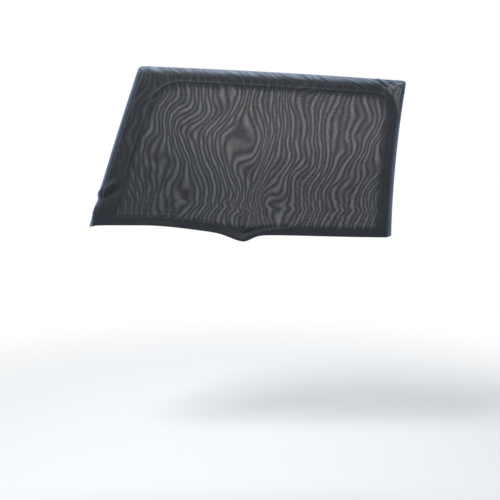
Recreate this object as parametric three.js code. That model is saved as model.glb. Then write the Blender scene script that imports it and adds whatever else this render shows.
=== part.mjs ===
import * as THREE from 'three';

// Sock-type sunshade for the side window of a car door, shaped as it lies stretched over the window frame.
// Two panels of thin stretch mesh are sewn together along the left, top and right edges. The mouth is
// open below, and its hem is turned up round a flat elastic. Everything is in millimetres.
// X runs along the door as seen from the cabin, Z is up and -Y faces the cabin.
// The origin is the middle of the mouth.

// Outline, seen from the cabin
const hemWidth = 908;
const leftHeight = 491;
const rightHeight = 448;
const topLeftInset = 157;
const topRightOverhang = 34;
const topBow = 3.5;
const leftBow = 2.5;
const rightEdgeSweep = 1.9;
const leftCornerRound = 15;
const rightCornerRound = 13;

// Height of the hem along the mouth: high on the left, lower on the right, with one slack loop between
const hemLeftRise = 25;
const hemMiddleDrop = 4;
const hemRightDrop = 11;
const hemSlopeStart = -290;
const hemSlopeEnd = 40;
const hemCornerDroop = 11;
const hemCornerDroopLength = 11;
const sagDepth = 19;
const sagAt = 8;
const sagReachLeft = 50;
const sagReachRight = 32;

// Depth of the pouch, from the cabin panel to the outer panel, and how wide each edge rolls over
const pouchDepth = 46;
const leftRoll = 24;
const topRoll = 19;
const rightRoll = 26;
const rollFullness = 1.7;
const faceDish = 5;

// Cloth, seam and hem
const cloth = 0.6;
const clearance = 0.3;
const threadThickness = 0.5;
const seamAllowance = 5;
const overlockBite = 3.2;
const seamTurn = 1;
const hemHeight = 8;
const elasticWidth = 6;
const elasticThickness = 1.2;

// Folds in the cabin panel
const creaseHeight = 8;
const creaseWidth = 10;
const creaseStart = { x: -434, z: 108 };
const creaseEnd = { x: -362, z: 153 };
const edgeNotch = 2.5;
const edgeNotchAt = 97;
const edgeNotchReach = 10;
const slackBulge = 6;
const slackAt = { x: -422, z: 62 };
const slackReach = { x: 26, z: 24 };
const loopFoldHeight = 6;
const loopFoldWidth = 7;
const loopFoldStart = -12;
const loopFoldRise = 30;
const loopFoldRun = 60;
const loopFoldLength = 190;
const loopGroove = 3;
const loopForward = 6;
const hemPull = 3;
const hemPullReach = 16;
const topDragHeight = 3.2;
const topDragPitch = 64;
const topDragReach = 30;
const topDragLean = 0.45;
const earFoldHeight = 7;
const earFoldReach = 46;
const earFoldCount = 7;
const outerRipple = 1.6;
const outerRipplePitch = 210;

// Places that follow from the sizes above
const half = 0.5;
const halfMouth = hemWidth * half;
const outerY = pouchDepth * half;
const faceY = -outerY;
const clothPitch = cloth + clearance;
const outerFoldRadius = (cloth + 2 * clearance + threadThickness) * half;
const outerAllowanceY = outerY - 2 * outerFoldRadius;
const cabinAllowanceY = outerAllowanceY - clothPitch;
const cabinSeamY = cabinAllowanceY - seamTurn;
const hemFoldRadius = (elasticThickness + cloth) * half + clearance;
const topLeft = { x: topLeftInset - halfMouth, z: leftHeight };
const topRight = { x: halfMouth + topRightOverhang, z: rightHeight };
const cabinColumns = 30;
const outerColumns = 14;
const middleRows = 12;

const meshBlack = { color: 0x2b2c30, roughness: 0.72, metalness: 0 };
const threadBlack = { color: 0x17181b, roughness: 0.6, metalness: 0 };
const elasticBlack = { color: 0x101113, roughness: 0.55, metalness: 0 };

const mix = THREE.MathUtils.lerp;
const smooth = THREE.MathUtils.smoothstep;

function bump(value, centre, reach) {
  return Math.exp(-(((value - centre) / reach) ** 2));
}

// Outline curves in the XZ plane

function hemLine(x, sag) {
  const middle = mix(hemLeftRise, -hemMiddleDrop, smooth(x, hemSlopeStart, hemSlopeEnd));
  const fall = (hemRightDrop - hemMiddleDrop) * smooth(x, hemSlopeEnd, halfMouth);
  const reach = x < sagAt ? sagReachLeft : sagReachRight;
  const corner = hemCornerDroop * Math.exp(-(x + halfMouth) / hemCornerDroopLength);
  return middle - fall - sag * bump(x, sagAt, reach) - corner;
}

function leftEdgeX(z, foot) {
  const rise = (z - foot) / (topLeft.z - foot);
  const line = mix(-halfMouth, topLeft.x, rise) - leftBow * Math.sin(Math.PI * rise);
  return line + edgeNotch * bump(z, edgeNotchAt, edgeNotchReach);
}

function rightEdgeX(z, foot) {
  const rise = Math.max(0, (z - foot) / (topRight.z - foot));
  return halfMouth + topRightOverhang * rise ** rightEdgeSweep;
}

function topEdgeZ(x) {
  const along = (x - topLeft.x) / (topRight.x - topLeft.x);
  return mix(topLeft.z, topRight.z, along) + topBow * Math.sin(Math.PI * along);
}

// The four borders of one panel, each from 0 to 1. The top corners are shared half and half
// between the side border and the top border, as quadratic curves.
function panelBorders(sag) {
  const bottomZ = (x) => hemLine(x, sag) + hemFoldRadius + hemHeight;
  const footLeft = bottomZ(-halfMouth);
  const footRight = bottomZ(halfMouth);
  const leftX = (z) => leftEdgeX(z, footLeft);
  const cornerLeft = new THREE.Vector2(topLeft.x, topLeft.z);
  const cornerRight = new THREE.Vector2(topRight.x, topRight.z);
  const sideLeftZ = topLeft.z - leftCornerRound;
  const sideRightZ = topRight.z - rightCornerRound;
  const sideLeft = new THREE.Vector2(leftX(sideLeftZ), sideLeftZ);
  const sideRight = new THREE.Vector2(rightEdgeX(sideRightZ, footRight), sideRightZ);
  const topStart = new THREE.Vector2(topLeft.x + leftCornerRound, topEdgeZ(topLeft.x + leftCornerRound));
  const topEnd = new THREE.Vector2(topRight.x - rightCornerRound, topEdgeZ(topRight.x - rightCornerRound));
  const arcLeft = new THREE.QuadraticBezierCurve(sideLeft, cornerLeft, topStart);
  const arcRight = new THREE.QuadraticBezierCurve(topEnd, cornerRight, sideRight);
  const topWidth = topRight.x - topLeft.x;
  const leftSplit = 1 - (leftCornerRound * half) / (topLeft.z - footLeft);
  const rightSplit = 1 - (rightCornerRound * half) / (topRight.z - footRight);
  const topSplitLeft = (leftCornerRound * half) / topWidth;
  const topSplitRight = 1 - (rightCornerRound * half) / topWidth;

  const bottom = (u) => {
    const x = mix(-halfMouth, halfMouth, u);
    return new THREE.Vector2(x, bottomZ(x));
  };
  const left = (v) => {
    if (v > leftSplit) return arcLeft.getPoint((half * (v - leftSplit)) / (1 - leftSplit));
    const z = mix(bottom(0).y, sideLeftZ, v / leftSplit);
    return new THREE.Vector2(leftX(z), z);
  };
  const right = (v) => {
    if (v > rightSplit) return arcRight.getPoint(1 - (half * (v - rightSplit)) / (1 - rightSplit));
    const z = mix(bottom(1).y, sideRightZ, v / rightSplit);
    return new THREE.Vector2(rightEdgeX(z, footRight), z);
  };
  const top = (u) => {
    if (u < topSplitLeft) return arcLeft.getPoint(half + (half * u) / topSplitLeft);
    if (u > topSplitRight) return arcRight.getPoint((half * (u - topSplitRight)) / (1 - topSplitRight));
    const x = mix(topStart.x, topEnd.x, (u - topSplitLeft) / (topSplitRight - topSplitLeft));
    return new THREE.Vector2(x, topEdgeZ(x));
  };
  return { bottom, left, right, top };
}

// A point inside the four borders, blended so that each border is met exactly
function blendBorders({ bottom, left, right, top }, u, v) {
  const point = new THREE.Vector2();
  point.addScaledVector(bottom(u), 1 - v);
  point.addScaledVector(top(u), v);
  point.addScaledVector(left(v), 1 - u);
  point.addScaledVector(right(v), u);
  point.addScaledVector(bottom(0), -(1 - u) * (1 - v));
  point.addScaledVector(bottom(1), -u * (1 - v));
  point.addScaledVector(top(0), -(1 - u) * v);
  point.addScaledVector(top(1), -u * v);
  return point;
}

// Steps from 0 to 1, closer together in the rolled zones at either end
function zonedSteps(length, startZone, startCount, endZone, endCount, middleCount) {
  const a = startZone / length;
  const b = 1 - endZone / length;
  const steps = [];
  for (let i = 0; i < startCount; i += 1) steps.push((a * i) / startCount);
  for (let i = 0; i < middleCount; i += 1) steps.push(mix(a, b, i / middleCount));
  for (let i = 0; i <= endCount; i += 1) steps.push(mix(b, 1, i / endCount));
  return steps;
}

// Both panels share the rows, and the columns of the rolled zones, so their seam edges match
const rowSteps = zonedSteps(leftHeight, 3 * hemPullReach, 7, 1.5 * topRoll, 6, middleRows);

function columnSteps(middleCount) {
  return zonedSteps(hemWidth, 1.4 * leftRoll, 7, 1.4 * rightRoll, 7, middleCount);
}

// A sheet of cloth as points and four-sided faces, without thickness

function makeSheet() {
  return { points: [], faces: [] };
}

function addPoint(sheet, x, y, z) {
  sheet.points.push(new THREE.Vector3(x, y, z));
  return sheet.points.length - 1;
}

function addStrip(sheet, fromRow, toRow) {
  for (let i = 0; i + 1 < fromRow.length; i += 1) {
    sheet.faces.push([fromRow[i], fromRow[i + 1], toRow[i + 1], toRow[i]]);
  }
}

function sheetNormals(sheet) {
  const normals = sheet.points.map(() => new THREE.Vector3());
  const across = new THREE.Vector3();
  const along = new THREE.Vector3();
  for (const [a, b, c, d] of sheet.faces) {
    across.subVectors(sheet.points[c], sheet.points[a]);
    along.subVectors(sheet.points[d], sheet.points[b]);
    const normal = across.clone().cross(along);
    for (const corner of [a, b, c, d]) normals[corner].add(normal.clone().normalize());
  }
  return normals.map((normal) => normal.normalize());
}

function solidFrom(positions, triangles) {
  let volume = 0;
  for (const [a, b, c] of triangles) {
    volume += positions[a].dot(positions[b].clone().cross(positions[c]));
  }
  const ordered = volume > 0 ? triangles : triangles.map(([a, b, c]) => [a, c, b]);
  const geometry = new THREE.BufferGeometry();
  const flat = positions.flatMap((p) => [p.x, p.y, p.z]);
  geometry.setAttribute('position', new THREE.Float32BufferAttribute(flat, 3));
  geometry.setIndex(ordered.flat());
  geometry.computeVertexNormals();
  return geometry;
}

// Gives a sheet its cloth thickness, half to each side, and closes its raw edges
function thicken(sheet, thickness) {
  const normals = sheetNormals(sheet);
  const count = sheet.points.length;
  const shifted = (side) => sheet.points.map((p, i) => p.clone().addScaledVector(normals[i], side * thickness * half));
  const positions = [...shifted(1), ...shifted(-1)];
  const triangles = [];
  const open = new Map();
  for (const [a, b, c, d] of sheet.faces) {
    triangles.push([a, b, c], [a, c, d]);
    triangles.push([a + count, c + count, b + count], [a + count, d + count, c + count]);
    for (const [from, to] of [[a, b], [b, c], [c, d], [d, a]]) {
      if (!open.delete(`${to} ${from}`)) open.set(`${from} ${to}`, [from, to]);
    }
  }
  for (const [from, to] of open.values()) {
    triangles.push([to, from, from + count], [to, from + count, to + count]);
  }
  return solidFrom(positions, triangles);
}

// A closed section carried along a row of stations, each of which places a section point in space
function sweep(outline, stations, closed) {
  const section = THREE.ShapeUtils.isClockWise(outline) ? [...outline].reverse() : outline;
  const size = section.length;
  const positions = stations.flatMap((place) => section.map((point) => place(point)));
  const triangles = [];
  const last = closed ? stations.length : stations.length - 1;
  for (let i = 0; i < last; i += 1) {
    const here = i * size;
    const next = ((i + 1) % stations.length) * size;
    for (let k = 0; k < size; k += 1) {
      const after = (k + 1) % size;
      triangles.push([here + k, here + after, next + after], [here + k, next + after, next + k]);
    }
  }
  if (!closed) {
    const end = (stations.length - 1) * size;
    for (const [a, b, c] of THREE.ShapeUtils.triangulateShape(section, [])) {
      triangles.push([a, c, b], [end + a, end + b, end + c]);
    }
  }
  return solidFrom(positions, triangles);
}

// Folds that stand out of the cabin panel, positive towards the cabin

function creaseFold(x, z) {
  const run = new THREE.Vector2(creaseEnd.x - creaseStart.x, creaseEnd.z - creaseStart.z);
  const from = new THREE.Vector2(x - creaseStart.x, z - creaseStart.z);
  const along = from.dot(run) / run.lengthSq();
  const off = from.cross(run) / run.length();
  const fade = smooth(along, -0.35, 0.15) * (1 - smooth(along, 0.7, 1.25));
  return creaseHeight * fade * (bump(off, 0, creaseWidth) - half * bump(off, 1.8 * creaseWidth, creaseWidth));
}

function slackFold(x, z) {
  return slackBulge * bump(x, slackAt.x, slackReach.x) * bump(z, slackAt.z, slackReach.z);
}

function loopFold(x, z) {
  const run = x - sagAt;
  const ridge = loopFoldStart + loopFoldRise * (1 - Math.exp(-Math.max(0, run) / loopFoldRun));
  const fade = smooth(run, -sagReachLeft * half, sagReachRight * half) * (1 - smooth(run, 0, loopFoldLength));
  const groove = loopGroove * bump(z, ridge + 2 * loopFoldWidth, loopFoldWidth);
  return fade * (loopFoldHeight * bump(z, ridge, loopFoldWidth) - groove);
}

function hemFold(x, aboveHem) {
  const near = Math.exp(-aboveHem / hemPullReach);
  return near * (loopForward * bump(x, sagAt, sagReachLeft) - hemPull);
}

function topDragFolds(x, z, fromTop) {
  const wave = Math.sin((2 * Math.PI * (x + topDragLean * z)) / topDragPitch);
  const spread = half + half * Math.sin((2 * Math.PI * x) / (5.3 * topDragPitch));
  return topDragHeight * wave * spread * Math.exp(-fromTop / topDragReach);
}

function earFolds(x, z) {
  const dx = x - topRight.x;
  const dz = z - topRight.z;
  const reach = Math.hypot(dx, dz);
  const rise = smooth(reach, 0, earFoldReach * half) * Math.exp(-reach / earFoldReach);
  return earFoldHeight * rise * Math.sin(earFoldCount * Math.atan2(dz, dx));
}

// The inward direction in the XZ plane at each point of the seam, which runs up the left edge,
// along the top and down the right edge
function seamInward(points) {
  return points.map((point, i) => {
    const before = points[Math.max(0, i - 1)];
    const after = points[Math.min(points.length - 1, i + 1)];
    const inward = new THREE.Vector3(after.z - before.z, 0, before.x - after.x);
    return inward.normalize();
  });
}

function gridOf(sheet, borders, us, depthAt) {
  return rowSteps.map((v) => us.map((u) => {
    const place = blendBorders(borders, u, v);
    return addPoint(sheet, place.x, depthAt(place, u, v), place.y);
  }));
}

function seamRow(grid) {
  const left = grid.map((row) => row[0]);
  const right = grid.map((row) => row[row.length - 1]).reverse();
  return [...left, ...grid[grid.length - 1].slice(1, -1), ...right];
}

// Turned-in seam allowance: rings of points given as distance in from the outline and depth
function addAllowance(sheet, edge, inward, outline, profile) {
  let from = edge;
  for (const [inset, y] of profile) {
    const ring = outline.map((point, i) => {
      const place = point.clone().addScaledVector(inward[i], inset);
      return addPoint(sheet, place.x, y, place.z);
    });
    addStrip(sheet, from, ring);
    from = ring;
  }
}

// The turned-up hem: straight down, round the elastic and up again on the inside.
// The turn-up stops short of the side seams, where the elastic passes from panel to panel.
function addHem(sheet, row, inwardY, skip) {
  const inward = row.map((index, i) => {
    const before = sheet.points[row[Math.max(0, i - 1)]];
    const after = sheet.points[row[Math.min(row.length - 1, i + 1)]];
    const normal = new THREE.Vector3(before.y - after.y, after.x - before.x, 0).normalize();
    return normal.multiplyScalar(Math.sign(normal.y) === Math.sign(inwardY) ? 1 : -1);
  });
  const copyRow = (list, offset, drop) => list.map((i) => {
    const place = sheet.points[row[i]].clone().addScaledVector(inward[i], offset);
    return addPoint(sheet, place.x, place.y, place.z - drop);
  });
  const all = row.map((_, i) => i);
  const turned = all.slice(skip, all.length - skip);
  const lower = copyRow(all, 0, hemHeight);
  addStrip(sheet, lower, row);
  let from = lower.slice(skip, all.length - skip);
  const turns = [1, 2, 3, 4].map((k) => (Math.PI * k) / 4);
  for (const angle of turns) {
    const next = copyRow(turned, hemFoldRadius * (1 - Math.cos(angle)), hemHeight + hemFoldRadius * Math.sin(angle));
    addStrip(sheet, next, from);
    from = next;
  }
  addStrip(sheet, copyRow(turned, 2 * hemFoldRadius, 0), from);
  return { lower, inward, skip };
}

function buildCabinPanel() {
  const borders = panelBorders(sagDepth);
  const us = columnSteps(cabinColumns);
  const sheet = makeSheet();
  const rolled = (distance, width) => 1 - Math.max(0, 1 - distance / width) ** rollFullness;
  const rollAt = (place, u, v) => rolled(place.distanceTo(borders.left(v)), leftRoll)
    * rolled(place.distanceTo(borders.top(u)), topRoll)
    * rolled(place.distanceTo(borders.right(v)), rightRoll);
  const depthAt = (place, u, v) => {
    const dish = faceDish * Math.sin(Math.PI * u) * Math.sin(Math.PI * v);
    return mix(cabinSeamY, faceY + dish, rollAt(place, u, v));
  };
  const grid = gridOf(sheet, borders, us, depthAt);
  for (let j = 0; j + 1 < rowSteps.length; j += 1) addStrip(sheet, grid[j], grid[j + 1]);
  const normals = sheetNormals(sheet);
  grid.forEach((row, j) => row.forEach((index, i) => {
    const place = new THREE.Vector2(sheet.points[index].x, sheet.points[index].z);
    const fromTop = place.distanceTo(borders.top(us[i]));
    const aboveHem = place.y - borders.bottom(us[i]).y;
    const height = creaseFold(place.x, place.y) + slackFold(place.x, place.y) + loopFold(place.x, place.y)
      + hemFold(place.x, aboveHem) + topDragFolds(place.x, place.y, fromTop) + earFolds(place.x, place.y);
    const onSeam = i === 0 || i === us.length - 1 || j === rowSteps.length - 1;
    const hold = onSeam ? 0 : rollAt(place, us[i], rowSteps[j]);
    sheet.points[index].addScaledVector(normals[index], height * hold);
  }));
  return { sheet, grid };
}

function buildOuterPanel() {
  const borders = panelBorders(0);
  const us = columnSteps(outerColumns);
  const sheet = makeSheet();
  const depthAt = (place, u, v) => {
    const inside = Math.sin(Math.PI * u) * Math.sin(Math.PI * v);
    return outerY + outerRipple * inside * Math.sin((2 * Math.PI * (place.x + place.y)) / outerRipplePitch);
  };
  const grid = gridOf(sheet, borders, us, depthAt).map((row) => row.reverse());
  for (let j = 0; j + 1 < rowSteps.length; j += 1) addStrip(sheet, grid[j], grid[j + 1]);
  return { sheet, grid };
}

// Both panels, their seam allowances and hems

const cabin = buildCabinPanel();
const outer = buildOuterPanel();

const cabinSeam = seamRow(cabin.grid);
const cabinOutline = cabinSeam.map((i) => cabin.sheet.points[i].clone());
const cabinInward = seamInward(cabinOutline);
const turnIn = [Math.PI / 4, Math.PI / 2].map((angle) => [
  seamTurn * (1 - Math.cos(angle)),
  cabinSeamY + seamTurn * Math.sin(angle),
]);
addAllowance(cabin.sheet, cabinSeam, cabinInward, cabinOutline, [...turnIn, [seamAllowance, cabinAllowanceY]]);

const outerSeam = seamRow(outer.grid.map((row) => [...row].reverse()));
const outerOutline = outerSeam.map((i) => outer.sheet.points[i].clone());
const outerInward = seamInward(outerOutline);
outerSeam.forEach((i, k) => outer.sheet.points[i].addScaledVector(outerInward[k], outerFoldRadius));
const foldBack = [1, 2, 3].map((k) => (Math.PI * k) / 3).map((angle) => [
  outerFoldRadius * (1 - Math.sin(angle)),
  outerY - outerFoldRadius * (1 - Math.cos(angle)),
]);
const outerProfile = [...foldBack, [seamAllowance, outerAllowanceY]];
addAllowance(outer.sheet, [...outerSeam].reverse(), [...outerInward].reverse(), [...outerOutline].reverse(), outerProfile);

const cabinHem = addHem(cabin.sheet, cabin.grid[0], 1, 6);
const outerHem = addHem(outer.sheet, outer.grid[0], -1, 4);

// The overlock thread wraps both raw edges of the seam allowance, as a section open towards the outline
const wrapTop = outerAllowanceY + cloth * half + clearance;
const wrapBottom = cabinAllowanceY - cloth * half - clearance;
const wrapStart = seamAllowance - overlockBite;
const wrapEnd = seamAllowance + clearance;
const overlockSection = [
  [wrapStart, wrapTop + threadThickness],
  [wrapEnd + threadThickness, wrapTop + threadThickness],
  [wrapEnd + threadThickness, wrapBottom - threadThickness],
  [wrapStart, wrapBottom - threadThickness],
  [wrapStart, wrapBottom],
  [wrapEnd, wrapBottom],
  [wrapEnd, wrapTop],
  [wrapStart, wrapTop],
].map(([inset, y]) => new THREE.Vector2(inset, y));
const overlockStations = cabinOutline.map((point, i) => (corner) => {
  const place = point.clone().addScaledVector(cabinInward[i], corner.x);
  return place.setY(corner.y);
});

// The elastic is one flat ring through both hems. Past the ends of a turn-up it leaves the cloth
// and crosses to the other panel.
function elasticPath({ lower, inward, skip }, sheet, leave) {
  const path = [];
  for (let i = leave; i < lower.length - leave; i += 1) {
    const insideHem = i >= skip && i < lower.length - skip;
    const offset = insideHem ? hemFoldRadius : hemFoldRadius + elasticThickness;
    path.push(sheet.points[lower[i]].clone().addScaledVector(inward[i], offset));
  }
  return path;
}

const elasticRing = [...elasticPath(cabinHem, cabin.sheet, 3), ...elasticPath(outerHem, outer.sheet, 2)];
const elasticSection = [
  [-elasticThickness * half, 0],
  [elasticThickness * half, 0],
  [elasticThickness * half, elasticWidth],
  [-elasticThickness * half, elasticWidth],
].map(([across, up]) => new THREE.Vector2(across, up));
const elasticStations = elasticRing.map((point, i) => {
  const before = elasticRing[(i + elasticRing.length - 1) % elasticRing.length];
  const after = elasticRing[(i + 1) % elasticRing.length];
  const across = new THREE.Vector3(before.y - after.y, after.x - before.x, 0).normalize();
  return (corner) => point.clone().addScaledVector(across, corner.x).add(new THREE.Vector3(0, 0, corner.y));
});

function named(name, geometry, finish) {
  const mesh = new THREE.Mesh(geometry, new THREE.MeshStandardMaterial(finish));
  mesh.name = name;
  return mesh;
}

const sunshade = new THREE.Group();
sunshade.add(
  named('cabin_mesh_panel', thicken(cabin.sheet, cloth), meshBlack),
  named('outer_mesh_panel', thicken(outer.sheet, cloth), meshBlack),
  named('overlock_seam_thread', sweep(overlockSection, overlockStations, false), threadBlack),
  named('hem_elastic', sweep(elasticSection, elasticStations, true), elasticBlack),
);

export default sunshade;
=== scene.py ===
"""Side window sunshade: a sock of black stretch mesh, its overlocked seam, elastic hem and a plain studio."""

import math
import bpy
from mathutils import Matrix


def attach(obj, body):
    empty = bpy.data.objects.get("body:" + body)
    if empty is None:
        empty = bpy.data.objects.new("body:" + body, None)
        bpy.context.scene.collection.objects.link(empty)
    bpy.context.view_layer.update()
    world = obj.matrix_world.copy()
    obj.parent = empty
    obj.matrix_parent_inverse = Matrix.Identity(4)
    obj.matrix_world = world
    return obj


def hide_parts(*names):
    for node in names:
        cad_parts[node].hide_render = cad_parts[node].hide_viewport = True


bl_info = {
    "name": "Side window sunshade",
    "version": (1, 0, 0),
    "blender": (4, 5, 0),
    "location": "3D View > Sidebar > Sunshade",
    "description": "Builds the two mesh panels, seam thread, hem and studio of a side window sunshade",
    "category": "Object",
}

import bpy
import numpy as np
from bpy.props import FloatProperty, FloatVectorProperty, IntProperty, PointerProperty
from mathutils import Vector, noise

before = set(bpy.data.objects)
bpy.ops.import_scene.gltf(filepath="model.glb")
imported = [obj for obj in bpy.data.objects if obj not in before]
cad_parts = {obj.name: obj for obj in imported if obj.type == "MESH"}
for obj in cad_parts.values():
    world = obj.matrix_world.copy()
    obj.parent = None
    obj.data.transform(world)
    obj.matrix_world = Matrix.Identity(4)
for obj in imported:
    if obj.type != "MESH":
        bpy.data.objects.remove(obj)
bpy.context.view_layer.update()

MM = 0.001
CLOTH_MAP = "cloth"
STRETCH = "stretch"


class ShadeSizes(bpy.types.PropertyGroup):
    """Sizes of the stretched shade, seen from the cabin"""

    hem_width: FloatProperty(
        name="Hem width", description="Length of the mouth", default=0.908, unit="LENGTH"
    )
    left_height: FloatProperty(
        name="Left height", description="Mouth to the left top corner", default=0.491, unit="LENGTH"
    )
    right_height: FloatProperty(
        name="Right height", description="Mouth to the right top corner", default=0.448, unit="LENGTH"
    )
    left_inset: FloatProperty(
        name="Left inset", description="How far the left top corner stands in", default=0.157, unit="LENGTH"
    )
    right_overhang: FloatProperty(
        name="Right overhang",
        description="How far the right top corner stands out",
        default=0.034,
        unit="LENGTH",
    )
    pouch_depth: FloatProperty(
        name="Pouch depth", description="Cabin panel to outer panel", default=0.046, unit="LENGTH"
    )
    left_roll: FloatProperty(
        name="Left roll", description="Width of the left edge's roll", default=0.024, unit="LENGTH"
    )
    top_roll: FloatProperty(
        name="Top roll", description="Width of the top edge's roll", default=0.030, unit="LENGTH"
    )
    right_roll: FloatProperty(
        name="Right roll", description="Width of the right edge's roll", default=0.026, unit="LENGTH"
    )
    hem_height: FloatProperty(
        name="Hem height", description="Height of the turned-up hem", default=0.008, unit="LENGTH"
    )
    columns: IntProperty(name="Columns", description="Cloth faces along the hem", default=400, min=20)
    rows: IntProperty(name="Rows", description="Cloth faces from hem to top", default=190, min=10)


class ClothLook(bpy.types.PropertyGroup):
    """Colour, weave and see-through of the mesh"""

    yarn: FloatVectorProperty(
        name="Yarn colour",
        description="Colour of the yarn",
        subtype="COLOR",
        default=(0.0165, 0.0175, 0.0200),
        size=3,
    )
    sheen: FloatVectorProperty(
        name="Sheen colour",
        description="Tint of the yarn's sheen",
        subtype="COLOR",
        default=(0.40, 0.62, 1.0),
        size=3,
    )
    wale: FloatProperty(
        name="Wale pitch", description="Spacing of the hole columns", default=0.0013, unit="LENGTH"
    )
    course: FloatProperty(
        name="Course pitch", description="Spacing of the holes in one column", default=0.0017, unit="LENGTH"
    )
    openness: FloatProperty(
        name="Openness",
        description="How much light one hole lets through",
        subtype="FACTOR",
        default=0.76,
        min=0,
        max=1,
    )


class StitchSizes(bpy.types.PropertyGroup):
    """Thread and stitch sizes"""

    thread: FloatProperty(
        name="Thread radius", description="Radius of the sewing thread", default=0.0002, unit="LENGTH"
    )
    overlock_pitch: FloatProperty(
        name="Overlock pitch", description="Length of one overlock stitch", default=0.0026, unit="LENGTH"
    )
    hem_pitch: FloatProperty(
        name="Hem stitch pitch", description="Length of one hem stitch", default=0.003, unit="LENGTH"
    )


class StudioLook(bpy.types.PropertyGroup):
    """Camera, lamps and backdrop"""

    lens: FloatProperty(
        name="Lens", description="Focal length in millimetres", default=55.0, subtype="DISTANCE_CAMERA"
    )
    distance: FloatProperty(
        name="Distance", description="Camera to the seam plane", default=2.29, unit="LENGTH"
    )
    camera_side: FloatProperty(
        name="Camera side", description="Camera right of the mouth's middle", default=0.02835, unit="LENGTH"
    )
    camera_height: FloatProperty(
        name="Camera height", description="Camera above the mouth", default=0.2341, unit="LENGTH"
    )
    pitch: FloatProperty(
        name="Pitch", description="How far the camera looks down", default=math.radians(7.15), unit="ROTATION"
    )
    floor_drop: FloatProperty(
        name="Floor drop", description="Floor below the mouth", default=0.72, unit="LENGTH"
    )
    floor_paint: FloatProperty(
        name="Floor paint", description="Grey of the floor", default=0.86, subtype="FACTOR", min=0, max=1
    )
    soft_light: FloatProperty(
        name="Soft light", description="Strength of the light from all round", default=0.18, min=0
    )


HALF = 0.5

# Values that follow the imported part

CLOTH = 0.6 * MM
CLEARANCE = 0.3 * MM
THREAD = 0.5 * MM
ALLOWANCE = 5 * MM
ALLOWANCE_STEP = 3 * MM
OVERLOCK_BITE = 3.2 * MM
SEAM_TURN = 1 * MM
ELASTIC_THICKNESS = 1.2 * MM
ELASTIC_WIDTH = 6 * MM
ROLL_FULLNESS = 2.0
FACE_DISH = 5 * MM
SAG_DEPTH = 19 * MM
OUTER_FOLD = (CLOTH + 2 * CLEARANCE + THREAD) * HALF
HEM_FOLD = (ELASTIC_THICKNESS + CLOTH) * HALF + CLEARANCE

# Grid columns at each end of a hem that stay single, and those that the elastic leaves free
CABIN_SKIP, OUTER_SKIP = 14, 10
CABIN_LEAVE, OUTER_LEAVE = 9, 6

# How far in from an end, as a share of the grid, its faces are dense
DENSE_REACH = 0.05

# How far the hem's inner layer stands off at the stitch line, as a share of the hem's thickness
STITCHED_GAP = 0.24


def bump(value, centre, reach):
    """A smooth hump from 0 to 1, highest at its centre"""
    return np.exp(-(((value - centre) / reach) ** 2))


def smooth(value, low, high):
    """Rises from 0 to 1 between two values and is level at both ends"""
    t = np.clip((value - low) / (high - low), 0, 1)
    return t * t * (3 - 2 * t)


def mix(a, b, t):
    """The value that lies a share t of the way from a to b"""
    return a + (b - a) * t


def smooth_least(a, b, reach):
    """The smaller of two distances, with the corner between them rounded"""
    h = np.clip(HALF + HALF * (b - a) / reach, 0, 1)
    return mix(b, a, h) - reach * h * (1 - h)


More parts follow.
